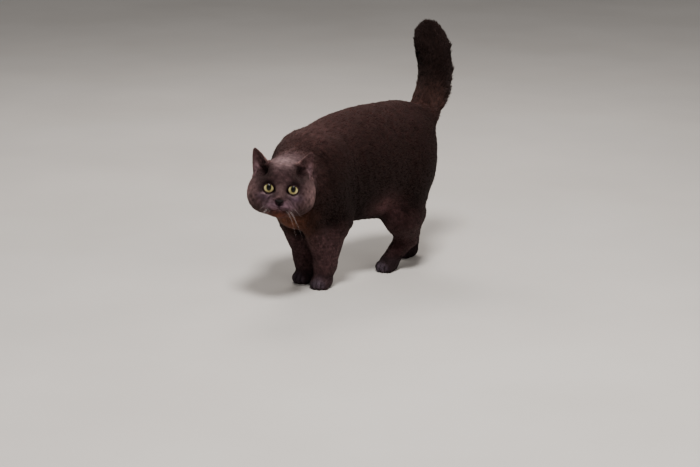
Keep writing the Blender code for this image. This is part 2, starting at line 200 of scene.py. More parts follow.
# Tones of the face, and painted light and shade on it: centre and radii in the head's frame, whether on both
# sides, colour, strength. Behind the head they fade out.
FACE_TONES_AND_PAINTED_LIGHT_END = (0.06, 0.085)
FACE_TONES_AND_PAINTED_LIGHT = [
    # Painted highlight on the crown, between the ears.
    ((0, 0.022, 0.047), (0.025, 0.04, 0.012), False, (0.27, 0.18, 0.186), 0.9),
    # Painted rim light on the outer edges of the cheeks.
    ((0.058, 0.022, -0.006), (0.011, 0.016, 0.028), True, (0.42, 0.26, 0.255), 0.7),
    ((0.046, 0.016, -0.004), (0.013, 0.02, 0.022), True, (0.165, 0.098, 0.1), 0.8),
    ((0.033, 0.006, 0), (0.006, 0.014, 0.013), True, (0.02, 0.012, 0.015), 0.7),
    ((0.038, 0.014, -0.038), (0.016, 0.022, 0.01), True, (0.042, 0.02, 0.018), 0.6),
    # The whisker pads paler: partly their own tone, partly painted light on their tops.
    ((0.013, -0.014, -0.026), (0.014, 0.014, 0.007), True, (0.21, 0.13, 0.165), 0.85),
    ((0.024, 0, -0.015), (0.014, 0.013, 0.0055), True, (0.1, 0.062, 0.09), 0.65),
    # Dark between the eyes and the ears and in front of the ears: partly dark fur, partly painted shade in
    # the hollows there.
    ((0.029, 0.012, 0.018), (0.015, 0.026, 0.014), True, (0.011, 0.006, 0.006), 0.92),
    ((0.034, 0.022, 0.03), (0.012, 0.016, 0.014), True, (0.022, 0.011, 0.012), 0.92),
    ((0.024, 0.008, 0.026), (0.007, 0.016, 0.014), True, (0.016, 0.008, 0.008), 0.92),
    ((0, 0.004, 0.024), (0.005, 0.02, 0.012), False, (0.022, 0.012, 0.013), 0.45),
    # Painted shadow under the brow, over the eye.
    ((0.022, 0.002, 0.0115), (0.014, 0.012, 0.0026), True, (0.012, 0.007, 0.008), 0.75),
    ((0.0112, -0.004, -0.006), (0.0028, 0.01, 0.004), True, (0.01, 0.006, 0.007), 0.8),
    ((0.021, 0, -0.01), (0.0085, 0.01, 0.002), True, (0.3, 0.21, 0.225), 0.85),
    ((0, -0.01, -0.006), (0.0065, 0.014, 0.013), False, (0.12, 0.075, 0.074), 0.65),
    # Painted shade under the whisker pads.
    ((0.013, -0.01, -0.0355), (0.012, 0.014, 0.0022), True, (0.016, 0.007, 0.007), 0.7),
    # The chin: painted shade, warmed by painted light reflected from below.
    ((0, -0.005, -0.041), (0.018, 0.02, 0.0075), False, (0.13, 0.034, 0.013), 0.85),
]
LID_COLOUR = (0.006, 0.004, 0.004)
EAR_DARK = (0.048, 0.024, 0.025)
EAR_PALE = (0.175, 0.106, 0.118)
EAR_PAINTED_RIM_LIGHT = (0.33, 0.2, 0.19)
TOE_COLOUR = (0.095, 0.074, 0.098)
# Painted shade in the gaps between the toes.
TOE_GAP_PAINTED_SHADE = (0.008, 0.005, 0.006)
MOUTH_COLOUR = (0.008, 0.004, 0.004)

# The tufts. Ranges are drawn from at random. Each of LOCK_WAVES has a scale and a seed.
MOST_TUFTS = 48000
LENGTH_RANGE = (0.72, 1.22)
WIDTH_RANGE = (0.75, 1.25)
SHADE_RANGE = (0.84, 1.18)
TURN_SPREAD = 0.13
LIFT_SPREAD = math.radians(3)
BEND_AT = 0.45
ROOT_RISE = 1.25
TIP_RISE = 0.75
LOWEST_HAIR = 0.0002
CLUMP_OF = 7
CLUMPING = 0.3
CLUMP_REACH = 0.006
LOCK_SHADES = 0.27
LOCK_WAVES = ((560, 17), (1100, 19))

# A tuft's corners are its root, the two sides of its bend, and its tip: their shades, triangles and UV patch.
TUFT_SHADES = np.array((0.88, 0.98, 0.98, 1.14))
TUFT_TRIANGLES = np.array(((0, 1, 2), (1, 3, 2), (0, 3, 1), (0, 2, 3)))
TUFT_PATCH = np.array(((0, 0.5), (0.5, 0), (0.5, 1), (1, 0.5)))
PATCH = 0.003

# By how much the tufts are denser on the face, and longer, wider and more lifted in some places.
FACE_CROWD = 0.8
TUFT_CHANGES = {
    "face": (-0.6, -0.34, 0),
    "cheek": (0.55, 0, 0),
    "ear_front": (1.3, 0, 0),
    "eye": (-0.45, -0.3, 0),
    "furnishing": (1.9, 0, math.radians(12)),
    "fringe": (0.15, 0, math.radians(8)),
}

# Where tufts change: before an ear (centre, radii), round an eye's opening, behind the tail's middle.
EAR_FRONT = ((0.03, 0.01, 0.026), (0.01, 0.016, 0.011))
EYE_SURROUND = 0.006
BEHIND_TAIL = (-0.004, 0.018)
PAW_LIE = (0.1, -0.75, -0.55)

# Each coat piece: its slot, its regions, which half along the body (-1 front, 1 rear, 0 both), whether it is
# split into a left and a right piece, and its tufts per square metre.
COAT_PIECES = {
    "coat_trunk_front": ("coat_body", ("trunk",), -1, True, 0.8e6),
    "coat_trunk_rear": ("coat_body", ("trunk",), 1, True, 0.8e6),
    "coat_neck": ("coat_body", ("neck",), 0, False, 1.0e6),
    "coat_face": ("coat_head", ("head",), -1, True, 4.0e6),
    "coat_head": ("coat_head", ("head",), 1, True, 2.0e6),
    "coat_tail": ("coat_tail", ("tail",), 0, False, 1.05e6),
    "coat_foreleg": ("coat_legs", ("foreleg", "forepaw"), 0, True, 1.1e6),
    "coat_hindleg": ("coat_legs", ("hindleg", "hindpaw"), 0, True, 1.1e6),
    "coat_ears": ("coat_ear", ("ear",), 0, False, 3.4e6),
}
FACE_REAR = 0.03

# The eyes.
PUPIL_NARROWNESS = 0.74
PUPIL_COLOUR = (0.0015, 0.0015, 0.002)

# The whiskers. A long whisker has a root, a way, a length and a droop.
WHISKER_RADIUS = 0.00015
WHISKER_POINTS = 14
WHISKER_ROWS = 4
WHISKERS_PER_ROW = 2
LONG_WHISKERS = [
    ((0.011, -0.019, -0.029), (0.6, 0.3, -0.7), 0.034, 0.75),
    ((0.0145, -0.016, -0.03), (0.7, 0.35, -0.6), 0.04, 0.7),
    ((-0.0145, -0.016, -0.03), (-0.9, 0.2, -0.45), 0.026, 0.6),
]

# The camera, from between the fore paws, with its focal length in widths of its sensor.
CAMERA_AT = Vector((2.41, -2.15, 0.93))
CAMERA_BEARING = math.radians(47)
CAMERA_PITCH = math.radians(14.5)
FOCAL_WIDTHS = 2.714286

# The lights: place towards the camera, to its left and up, size, watts, colour, whether seen in gloss.
LIGHTS = {
    "key": (1.2, -0.1, 2.1, 0.5, 90, (1.0, 0.96, 0.92), True),
    "fill": (1.6, -1.3, 1.0, 1.2, 12, (1.0, 0.92, 0.85), False),
    "rim": (-1.4, 0.2, 1.7, 0.8, 26, (1.0, 0.93, 0.87), False),
}

rng = np.random.default_rng(11)


def middle(node):
    low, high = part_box(node)
    return (low + high) / 2


def into_head(points):
    """Points of the row's frame in the head's own frame."""
    return (points - HEAD) @ TURN


def out_of_head(points):
    return np.asarray(points) @ TURN.T + HEAD


# Places on the body.
TURN = np.array(HEAD_TURN.to_matrix())
HEAD = np.array((middle("eye_left") + middle("eye_right")) / 2) - TURN @ (0, EYE_RADIUS, 0)
NOSE_IN_HEAD = into_head(np.array(middle("nose")))
PAWS_MIDPOINT_AHEAD = 0.0077
GROUND = (middle("forepaw_left") + middle("forepaw_right")) / 2 - Vector((0, PAWS_MIDPOINT_AHEAD, 0))
GROUND.z = 0
TRUNK_LOW, TRUNK_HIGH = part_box("trunk")


def unit(vectors):
    return vectors / (np.linalg.norm(vectors, axis=-1, keepdims=True) + 1e-12)


def ramp(value, start, end):
    """0 before start, 1 after end and smooth in between."""
    share = np.clip((value - start) / (end - start), 0, 1)
    return share * share * (3 - 2 * share)


def bell(value, width):
    """1 where the value is 0, falling off on both sides."""
    return np.exp(-((value / width) ** 2))


def spot(points, centre, radii, side=1):
    """1 at a centre, falling off around it. The centre is given for the left, and side -1 mirrors it."""
    away = (points - np.array(centre) * (side, 1, 1)) / radii
    return np.exp(-np.sum(away * away, axis=1))


def mixed(colour, share, other):
    """A colour of each point, drawn towards another by each point's share."""
    return colour + share[:, None] * (np.array(other) - colour)


def share_of(shares, *kinds):
    """How far these kinds of region count at each point, together."""
    return sum(shares[:, KINDS.index(kind)] for kind in kinds)


def turned(along, beside, angle):
    """Vectors turned from one way towards another by an angle each."""
    return along * np.cos(angle)[:, None] + beside * np.sin(angle)[:, None]


def laid(ways, normal):
    """Ways laid flat on the surface that has these normals."""
    return unit(ways - normal * np.sum(ways * normal, axis=1)[:, None])


def link(mesh, name):
    obj = bpy.data.objects.new(name, mesh)
    bpy.context.scene.collection.objects.link(obj)
    return obj


def evaluated(obj):
    """The mesh of an object with its modifiers applied. The object goes."""
    depsgraph = bpy.context.evaluated_depsgraph_get()
    mesh = bpy.data.meshes.new_from_object(obj.evaluated_get(depsgraph))
    bpy.data.objects.remove(obj)
    return mesh


def values_of(items, name, width, kind=np.float32):
    """One property of each item of a mesh, as rows of an array."""
    flat = np.zeros(len(items) * width, kind)
    items.foreach_get(name, flat)
    return flat.reshape(-1, width)


def positions(mesh):
    return values_of(mesh.vertices, "co", 3).astype(float)


def set_positions(mesh, points):
    mesh.vertices.foreach_set("co", points.astype(np.float32).ravel())
    mesh.update()


def normals(mesh):
    return values_of(mesh.vertex_normals, "vector", 3).astype(float)


def edge_ends(mesh):
    return values_of(mesh.edges, "vertices", 2, np.int32).T


def spread(values, ends, rounds, pull=0.5):
    """Evens out values between neighbouring vertices, in rounds. Pull may differ between vertices."""
    first, second = ends
    count = len(values)
    degree = np.bincount(first, minlength=count) + np.bincount(second, minlength=count)
    values = values.copy()
    for _ in range(rounds):
        for column in values.T:
            total = np.bincount(first, column[second], count) + np.bincount(second, column[first], count)
            column += pull * (total / degree - column)
    return values


# --- The skin ---


def kind_of(node):
    return node.split("_")[0]


def shell_of(*meshes):
    shell = bmesh.new()
    for mesh in meshes:
        shell.from_mesh(mesh)
    return shell


def settle(shell, mesh):
    """Writes a shell into a mesh. The shell goes."""
    shell.to_mesh(mesh)
    shell.free()
    return mesh


def welded(node):
    """A CAD node's mesh with its split vertices merged."""
    shell = shell_of(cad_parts[node].data)
    bmesh.ops.remove_doubles(shell, verts=shell.verts, dist=1e-5)
    return shell


def grown_flesh(nodes):
    """The flesh nodes in one mesh, each grown a little so that it runs into its neighbours."""
    parts = []
    for node in nodes:
        shell = welded(node)
        shell.normal_update()
        for vertex in shell.verts:
            vertex.co += vertex.normal * SEAM_OVERLAP
        parts.append(settle(shell, bpy.data.meshes.new(node)))
    return settle(shell_of(*parts), bpy.data.meshes.new("flesh"))


def remeshed(mesh):
    obj = link(mesh, "flesh")
    remesh = obj.modifiers.new("remesh", "REMESH")
    remesh.mode = "VOXEL"
    remesh.voxel_size = SKIN_VOXEL
    return evaluated(obj)


def smooth_ear(node):
    obj = link(settle(welded(node), bpy.data.meshes.new(node)), node)
    obj.modifiers.new("smooth", "SUBSURF").levels = 2
    return evaluated(obj)


def refine(mesh, chosen):
    """Halves the edges between the chosen vertices."""
    shell = shell_of(mesh)
    shell.verts.ensure_lookup_table()
    edges = [edge for edge in shell.edges if chosen[edge.verts[0].index] and chosen[edge.verts[1].index]]
    bmesh.ops.subdivide_edges(shell, edges=edges, cuts=1, use_grid_fill=True)
    settle(shell, mesh)


def label(points, nodes):
    """Which of these nodes each point lies nearest to."""
    corners = [positions(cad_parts[node].data) for node in nodes]
    owners = np.repeat(np.arange(len(nodes)), [len(of_node) for of_node in corners])
    return nearest(points, np.vstack(corners), owners)


def nearest(points, places, numbers):
    """For each point, the number of the place that it lies nearest to."""
    tree = KDTree(len(places))
    for place, number in zip(places, numbers):
        tree.insert(place, number)
    tree.balance()
    return np.array([tree.find(point)[1] for point in points])


def make_skin():
    """The skin's mesh, with the share of each kind of region at every vertex."""
    ears = sorted(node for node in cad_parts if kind_of(node) == "ear")
    flesh = sorted(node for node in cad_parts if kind_of(node) in REGIONS and node not in ears)
    mesh = remeshed(grown_flesh(flesh))
    soften(mesh, flesh, rounds=30)

    in_head = into_head(positions(mesh))
    skull = np.linalg.norm(in_head - SKULL_MIDDLE, axis=1) < SKULL_RADIUS
    paws = positions(mesh)[:, 2] < FINE_FEET
    refine(mesh, skull & (in_head[:, 1] < SKULL_REAR) | paws)
    in_head = into_head(positions(mesh))
    refine(mesh, np.all((in_head > FACE_BOX[0]) & (in_head < FACE_BOX[1]), axis=1))
    soften(mesh, flesh, rounds=8)

    whole = shell_of(mesh, *(smooth_ear(ear) for ear in ears))
    bmesh.ops.triangulate(whole, faces=whole.faces)
    settle(whole, mesh)

    nodes = flesh + ears
    shares = region_shares(mesh, nodes)
    sink(mesh, shares)
    part_toes(mesh)
    sculpt_face(mesh, shares)
    mesh.polygons.foreach_set("use_smooth", np.ones(len(mesh.polygons), bool))
    return mesh, shares


def region_shares(mesh, nodes):
    """For every vertex, how far each kind of region counts there. Neighbouring regions blend."""
    owner = label(positions(mesh), nodes)
    kind = np.array([KINDS.index(kind_of(node)) for node in nodes])[owner]
    whole = np.eye(len(KINDS))
    shares = spread(whole[kind], edge_ends(mesh), rounds=30)
    ear = KINDS.index("ear")
    shares[kind == ear] = whole[ear]
    return shares


def blended(shares, trait):
    """A trait of the regions at each vertex."""
    return shares @ np.array([region[TRAITS.index(trait)] for region in REGIONS.values()])


def soften(mesh, nodes, rounds):
    """Smooths away the solids' facets, least on the face and the feet."""
    shares = region_shares(mesh, nodes)
    pull = 0.5 * blended(shares, "smooth")
    set_positions(mesh, spread(positions(mesh), edge_ends(mesh), rounds, pull))


def sink(mesh, shares):
    """Draws the skin in by the depth of the coat."""
    outward = unit(spread(normals(mesh), edge_ends(mesh), rounds=4))
    points = positions(mesh)
    back_of_head = share_of(shares, "head") * ramp(into_head(points)[:, 1], *BACK_OF_HEAD)
    depth = blended(shares, "depth") + BACK_OF_HEAD_DEPTH * back_of_head
    set_positions(mesh, points - outward * depth[:, None])


def in_paw(points, paw):
    """Points in a paw's own frame: across it, ahead of its middle, and up."""
    ahead, along, heading = PAWS[paw]
    turn = np.array(Matrix.Rotation(math.radians(heading), 3, "Z"))
    return (points - np.array(GROUND) - (ahead, along, 0)) @ turn * (1, -1, 1)


def toe_gaps(points):
    """How far each point lies in a gap between two toes, 0 to 1."""
    share = np.zeros(len(points))
    for paw in PAWS:
        across, ahead, up = in_paw(points, paw).T
        on_toes = (np.abs(across) < TOES_HALF_WIDTH) * ramp(ahead, *TOES_AHEAD) * (ahead < PAW_FRONT)
        on_toes = on_toes * (1 - ramp(up, *TOES_UP))
        for gap in TOE_GAPS:
            share = np.maximum(share, bell(across - gap, TOE_GAP_WIDTH) * on_toes)
    return share


def part_toes(mesh):
    """Presses in the gaps between the toes."""
    points = positions(mesh)
    set_positions(mesh, points - normals(mesh) * (TOE_GAP_DEPTH * toe_gaps(points))[:, None])


def fill_pads(points):
    """Rounds out the two whisker pads and the chin."""
    shaped = points.copy()
    for centre, radii, height in PAD_SWELLS:
        for side in SIDES.values():
            swell = height * spot(points, centre, radii, side)
            shaped += swell[:, None] * unit(points - MUZZLE_MIDDLE)
    return shaped


def open_ears(points):
    """Slopes the forehead back into the openings of the ears."""
    shaped = points.copy()
    for centre, radii, depth in EAR_HOLLOWS:
        for side in SIDES.values():
            hollow = depth * spot(points, centre, radii, side)
            shaped += hollow[:, None] * unit(HOLLOW_WAY * np.array((side, 1, 1)))
    return shaped


def sculpt_face(mesh, shares):
    """Openings of the ears, whisker pads, lids round the eyes, the bed of the nose, the line of the mouth."""
    points = into_head(positions(mesh))
    skin = share_of(shares, "ear") < 0.5
    points[skin] = open_ears(fill_pads(points[skin]))
    for side in SIDES.values():
        points[skin] = round_eye(points[skin], side)
    points[skin] = bed_nose(points[skin])
    points[skin] = mouth_line(points[skin])
    set_positions(mesh, out_of_head(points))


def around_eye(points, side):
    """How far points in the head's frame are from an eye's axis, and how far the lids open that way."""
    across, height = side * points[:, 0] - EYE_SPACING / 2, points[:, 2] + OPENING_DROP
    way = np.arctan2(height, across)
    to_nose = bell(np.angle(np.exp(1j * (way - CORNER_WAY))), CORNER_SPREAD)
    upper = np.clip(np.sin(way), 0, 1) ** 2
    opening = LID_OPENING * (1 + CORNER_REACH * to_nose - UPPER_LID_DROP * upper)
    return np.hypot(across, height), opening


def round_eye(points, side):
    """Presses the skin behind the eyeball in the opening, and lays lids over the eyeball's edge."""
    away, opening = around_eye(points, side)
    facing = (points[:, 1] < LID_REAR) & (away < LID_REACH)
    across = side * points[:, 0] - EYE_SPACING / 2
    front_of_eye = EYE_RADIUS - np.sqrt(np.clip(EYE_RADIUS**2 - across**2 - points[:, 2] ** 2, 0, None))
    to_edge = np.clip(opening - away, -LID_EDGE, LID_EDGE)
    lid = front_of_eye - LID_THICKNESS
    blend = ramp(away, opening + LID_WIDTH, opening + 6 * LID_WIDTH)
    depth = np.where(away < opening, np.maximum(points[:, 1], front_of_eye + BEHIND_EYE), lid)
    depth += blend * (points[:, 1] - depth)
    over_eyeball = (away > opening) & (np.hypot(across, points[:, 2]) < EYE_RADIUS)
    depth = np.where(over_eyeball, np.minimum(depth, front_of_eye - LEAST_LID), depth)
    shaped = points.copy()
    shaped[facing, 1] = depth[facing]
    near_edge = facing & (np.abs(to_edge) < LID_EDGE)
    scale = 1 + to_edge[near_edge] / away[near_edge]
    axis = side * EYE_SPACING / 2
    shaped[near_edge, 0] = axis + (points[near_edge, 0] - axis) * scale
    shaped[near_edge, 2] = (points[near_edge, 2] + OPENING_DROP) * scale - OPENING_DROP
    return shaped


def nose_outline(points):
    """1 on the outline of the nose leather seen from the front, less inside it, more outside."""
    across, height = np.abs(points[:, 0]), points[:, 2] - NOSE_IN_HEAD[2]
    share = np.clip((NOSE_TOP - height) / (NOSE_TOP - NOSE_POINT), 0, 1)
    half_width = NOSE_HALF_WIDTH * (1 - share**NOSE_TAPER) + 0.0012
    beyond = np.maximum(height - NOSE_TOP, NOSE_POINT - height) / 0.004
    return np.maximum(across / half_width, 1 + beyond)


def bed_nose(points):
    """Closes the pocket that the solids have round the nose, so that the nose leather stands on the skin."""
    near = 1 - ramp(nose_outline(points), 1.0, 1.35)
    bed = NOSE_IN_HEAD[1] + 0.0008 + NOSE_SLOPE * (NOSE_IN_HEAD[2] - points[:, 2])
    front = points[:, 1] < NOSE_FRONT
    shaped = points.copy()
    shaped[:, 1] += near * front * (bed - points[:, 1])
    return shaped


def mouth_height(across):
    """Height of the mouth's line in the head's frame, by the distance from its middle."""
    return MOUTH_MIDDLE - MOUTH_DROP * np.sin(np.clip(across / MOUTH_CORNER, 0, 1.5) * math.pi / 2)


def mouth_share(points, lip_width, lip_end, groove_top):
    """How far each point lies in the line of the mouth or in the groove above it, 0 to 1."""
    across = np.abs(points[:, 0])
    from_lip = np.abs(points[:, 2] - mouth_height(across))
    lips = bell(from_lip, lip_width) * (1 - ramp(across, *lip_end))
    in_groove = (points[:, 2] > GROOVE_BOTTOM) & (points[:, 2] < groove_top)
    groove = bell(across, GROOVE_WIDTH) * in_groove
    return np.maximum(lips, groove) * (1 - ramp(points[:, 1], *MUZZLE_SIDES))


def mouth_line(points):
    """Presses in the groove under the nose and the line of the mouth."""
    shaped = points.copy()
    pressed = mouth_share(points, lip_width=0.0011, lip_end=(0.007, 0.015), groove_top=-0.02)
    shaped[:, 1] += MOUTH_DEPTH * pressed
    return shaped


# --- The look of the coat at each place ---

TAIL = positions(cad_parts["tail"].data)
TAIL_CURVE = np.polyfit(TAIL[:, 2], TAIL[:, 1], 3)


def tail_middle(height):
    """The place of the tail's middle along the body, by its height."""
    return np.polyval(TAIL_CURVE, height)


def behind_tail(points):
    return ramp(points[:, 1] - tail_middle(points[:, 2]), *BEHIND_TAIL)


def lie_of_coat(points, shares):
    """The way the hair lies at each point, not yet laid on the skin."""
    back, down = np.array((0, 1, 0)), np.array((0, 0, -1))
    along = points[:, 1] - GROUND.y
    across = np.clip(np.abs(points[:, 0] - GROUND.x) / 0.07, 0, 1)
    in_head = into_head(points)
    side = np.sign(in_head[:, 0])
    in_cup = ear_inside(in_head)[0]

    fall = 0.35 * across + 1.3 * ramp(along, 0.17, 0.27) + 0.8 * (1 - ramp(along, -0.01, 0.06)) * across
    slope = np.polyval(np.polyder(TAIL_CURVE), points[:, 2])
    fringe = behind_tail(points) * (1 - ramp(points[:, 2], TRUNK_HIGH.z + 0.005, TRUNK_HIGH.z + 0.055))
    one = np.ones_like(slope)
    paw = np.array(PAW_LIE)
    from_nose = unit(in_head - NOSE_IN_HEAD - (0, 0.006, 0))
    ways = {
        "trunk": back + down * fall[:, None],
        "neck": unit(points - out_of_head((0, 0.01, 0.01))) + 0.35 * down,
        "head": from_nose @ TURN.T,
        "tail": np.stack((0 * one, slope + 0.9 * fringe, 1 - 1.25 * fringe), axis=1),
        "foreleg": down + 0.2 * back,
        "hindleg": down + 0.35 * back,
        "forepaw": paw,
        "hindpaw": paw,
        "ear": np.stack(((0.25 + 0.6 * in_cup) * side, 0.1 * one, one), axis=1) @ TURN.T,
    }
    return sum(share_of(shares, kind)[:, None] * unit(ways[kind]) for kind in KINDS)


def coat_colour_and_painted_light(points, shares):
    """The coat's colour at each point: its region's, with tones and painted light and shade on body, face,
    ears and toes.
    """
    colour = blended(shares, "colour")
    up_trunk = np.clip((points[:, 2] - TRUNK_LOW.z) / (TRUNK_HIGH.z - TRUNK_LOW.z), 0, 1) ** BACK_RISE
    up_tail = ramp(points[:, 2], TRUNK_HIGH.z - 0.03, TRUNK_HIGH.z + 0.04)
    # Painted light on the back and painted shade on the belly, up the trunk; a change in colour up the tail.
    for share, rise, low, high in (
        (share_of(shares, "trunk", "neck"), up_trunk, BELLY_PAINTED_SHADE, BACK_PAINTED_LIGHT),
        (share_of(shares, "tail"), up_tail, TAIL_ROOT_SHADE, TAIL_TIP_SHADE),
    ):
        colour *= (1 + share * (low - 1 + (high - low) * rise))[:, None]
    up_leg = LEG_TOP_SHARE * share_of(shares, "foreleg", "hindleg") * ramp(points[:, 2], *LEG_TOPS)
    trunk_colour = np.array(REGIONS["trunk"][TRAITS.index("colour")])
    colour = mixed(colour, up_leg, LEG_TOP_SHADE * trunk_colour)
    # Painted light and shade: bands across the upper forelegs for the creases in their fur.
    foreleg = share_of(shares, "foreleg") * ramp(points[:, 2], *CREASED_ABOVE)
    wander = CREASE_WANDER * wavering(points, scale=90, seed=23)
    painted_creases = np.sin(points[:, 2] * CREASES_PER_METRE * 2 * math.pi + wander)
    colour *= (1 + CREASE_PAINTED_LIGHT_AND_SHADE * foreleg * painted_creases)[:, None]

    in_head = into_head(points)
    on_head = 1 - ramp(in_head[:, 1], *FACE_TONES_AND_PAINTED_LIGHT_END)
    on_body = 1 - ramp(share_of(shares, "head"), 0.2, 0.8)
    # Painted light and shade on the body and the face, among spots of the coat's own tones.
    colour = with_tones_and_painted_light(points - np.array(GROUND), BODY_TONES_AND_PAINTED_LIGHT, colour, on_body)
    colour = with_tones_and_painted_light(in_head, FACE_TONES_AND_PAINTED_LIGHT, colour, on_head)
    colour = ear_shades(in_head, share_of(shares, "ear"), colour)
    return toe_shades(points, colour)


def with_tones_and_painted_light(points, marks, colour, share):
    """The colour with soft spots of other tones on it, some of them painted light and painted shade."""
    for centre, radii, mirrored, shade, strength in marks:
        for side in SIDES.values() if mirrored else (1,):
            colour = mixed(colour, strength * share * spot(points, centre, radii, side), shade)
    return colour


def in_ear(in_head):
    """Where points lie on an ear: across it from its inner edge, up to its tip, in front of its sheet."""
    found = np.zeros_like(in_head)
    for side, tip in EAR_TIPS.items():
        mine = side * in_head[:, 0] > 0
        corners = in_head[mine] * (side, 1, 1)
        middle_of_base, half_base = (EAR_INNER + EAR_OUTER) / 2, (EAR_OUTER - EAR_INNER) / 2
        up = tip - middle_of_base
        backward = unit(np.cross(half_base, up))
        backward *= np.sign(backward @ EAR_CUP)
        solve = np.linalg.inv(np.column_stack((half_base, up, -backward)))
        cup = np.zeros_like(corners)
        for _ in range(4):
            across, rise, before = solve @ (corners - middle_of_base - cup).T
            width = (1 - np.clip(rise, 0, 0.97) ** 1.4) ** 0.8
            across = across / width
            cup = ((1 - np.clip(across, -1, 1) ** 2) * width**2)[:, None] * EAR_CUP
        found[mine] = np.column_stack((across, rise, before))
    return found.T


def ear_inside(in_head):
    """How far points of the ears lie on their open side, 0 to 1, with their place across and up the ear."""
    across, rise, before = in_ear(in_head)
    return ramp(before, -0.0002, 0.0006), across, rise


def ear_shades(in_head, on_ear, colour):
    """The ears' insides, dark at the inner edge and paler at the outer, with a thin pale rim of painted rim
    light.
    """
    inside, across, rise = ear_inside(in_head)
    inside = inside * on_ear
    pale = np.exp(-(((across - 0.5) / 0.32) ** 2) - ((rise - 0.3) / 0.26) ** 2)
    inner = mixed(np.array(EAR_DARK), pale, EAR_PALE)
    colour = mixed(colour, inside, inner)
    # Painted rim light along the ears' edges.
    rim = on_ear * ramp(np.abs(across), 0.9, 1) * ramp(rise, 0.12, 0.3) * (0.35 + 0.65 * inside)
    return mixed(colour, 0.75 * rim, EAR_PAINTED_RIM_LIGHT)


def toe_shades(points, colour):
    """The toes' pale fronts, and painted shade in the gaps between them."""
    pale = np.zeros(len(points))
    for paw in PAWS:
        across, ahead, up = in_paw(points, paw).T
        on_paw = (np.abs(across) < PALE_TOES_HALF_WIDTH) * (ahead < PAW_FRONT) * (up < PAW_TOP)
        pale = np.maximum(pale, on_paw * ramp(ahead, *PALE_TOES_AHEAD) * ramp(up, *PALE_TOES_UP))
    return mixed(mixed(colour, 0.65 * pale, TOE_COLOUR), 0.9 * toe_gaps(points), TOE_GAP_PAINTED_SHADE)


def dark_rims(points, colour):
    """Darkens the skin at the lids, most at the upper ones, and along the mouth."""
    in_head = into_head(points)
    for side in SIDES.values():
        away, opening = around_eye(in_head, side)
        share = (in_head[:, 1] < EYE_REAR) * (1 - ramp(away, opening + 0.0002, opening + 0.0008))
        slant = in_head[:, 2] - 0.3 * (side * in_head[:, 0] - EYE_SPACING / 2)
        share *= 0.1 + 0.9 * ramp(slant, -0.003, 0.003)
        colour = mixed(colour, share, LID_COLOUR)
    nose_height = NOSE_IN_HEAD[2]
    mouth = mouth_share(in_head, lip_width=0.0009, lip_end=(0.005, 0.013), groove_top=nose_height)
    return mixed(colour, mouth, MOUTH_COLOUR)


def paint(mesh, colour):
    layer = mesh.attributes.new("coat", "FLOAT_COLOR", "POINT")
    opaque = np.column_stack((colour, np.ones(len(colour))))
    layer.data.foreach_set("color", opaque.astype(np.float32).ravel())


# --- The coat ---


class Skin:
    """The skin's triangles with all that the coat takes from them."""

    def __init__(self, mesh, shares):
        self.points = positions(mesh)
        self.normals = normals(mesh)
        self.shares = shares
        self.triangles = values_of(mesh.polygons, "vertices", 3, np.int32)
        lie = laid(lie_of_coat(self.points, shares), self.normals)
        self.lie = unit(spread(lie, edge_ends(mesh), rounds=12))
        self.colour = coat_colour_and_painted_light(self.points, shares)
        corners = self.points[self.triangles]
        cross = np.cross(corners[:, 1] - corners[:, 0], corners[:, 2] - corners[:, 0])
        self.area = np.linalg.norm(cross, axis=1) / 2
        self.centre = corners.mean(axis=1)
        mean_shares = shares[self.triangles].mean(axis=1)
        self.kind = mean_shares.argmax(axis=1)
        face = 1 - ramp(into_head(self.centre)[:, 1], 0.01, 0.04)
        face *= self.kind == KINDS.index("head")
        self.crowd = self.area * blended(mean_shares, "crowd") * (1 + FACE_CROWD * face)

    def within(self, kinds, side, half):
        """Which triangles a coat piece covers."""
        chosen = np.isin(self.kind, [KINDS.index(kind) for kind in kinds])
        across = into_head(self.centre)[:, 0] if "head" in kinds else self.centre[:, 0] - GROUND.x
        if side:
            chosen &= side * across >= 0
        if half:
            behind = self.centre[:, 1] - (TRUNK_LOW.y + TRUNK_HIGH.y) / 2
            if "head" in kinds:
                behind = into_head(self.centre)[:, 1] - FACE_REAR
            chosen &= half * behind >= 0
        return np.flatnonzero(chosen)

    def roots(self, chosen, density):
        """A function that reads any skin value at random places on the chosen triangles."""
        crowd = self.crowd[chosen]
        count = min(MOST_TUFTS, int(self.area[chosen].sum() * density))
        picked = np.searchsorted(np.cumsum(crowd) / crowd.sum(), rng.random(count))
        picked = chosen[picked.clip(0, len(chosen) - 1)]
        weights = rng.random((count, 2))
        over = weights.sum(axis=1) > 1
        weights[over] = 1 - weights[over]
        weights = np.column_stack((1 - weights.sum(axis=1), weights))

        def read(values):
            return np.einsum("ij,ijk->ik", weights, values[self.triangles[picked]])

        return read


def wavering(points, scale, seed):
    """A smooth random number for each point, between about -1 and 1."""
    phases = np.random.default_rng(seed)
    total = np.zeros(len(points))
    for _ in range(7):
        way = unit(phases.normal(size=3)) * scale * phases.uniform(0.6, 1.6)
        total += np.sin(points @ way + phases.uniform(0, 2 * math.pi))
    return total / 3.2


def is_bare(points):
    """Whether no tuft grows at each point: in the eyes' openings and on the nose."""
    in_head = into_head(points)
    bare = (nose_outline(in_head) < 0.95) & (in_head[:, 1] < NOSE_FRONT)
    for side in SIDES.values():
        away, opening = around_eye(in_head, side)
        bare |= (in_head[:, 1] < EYE_REAR) & (away < opening + 0.0001)
    return bare


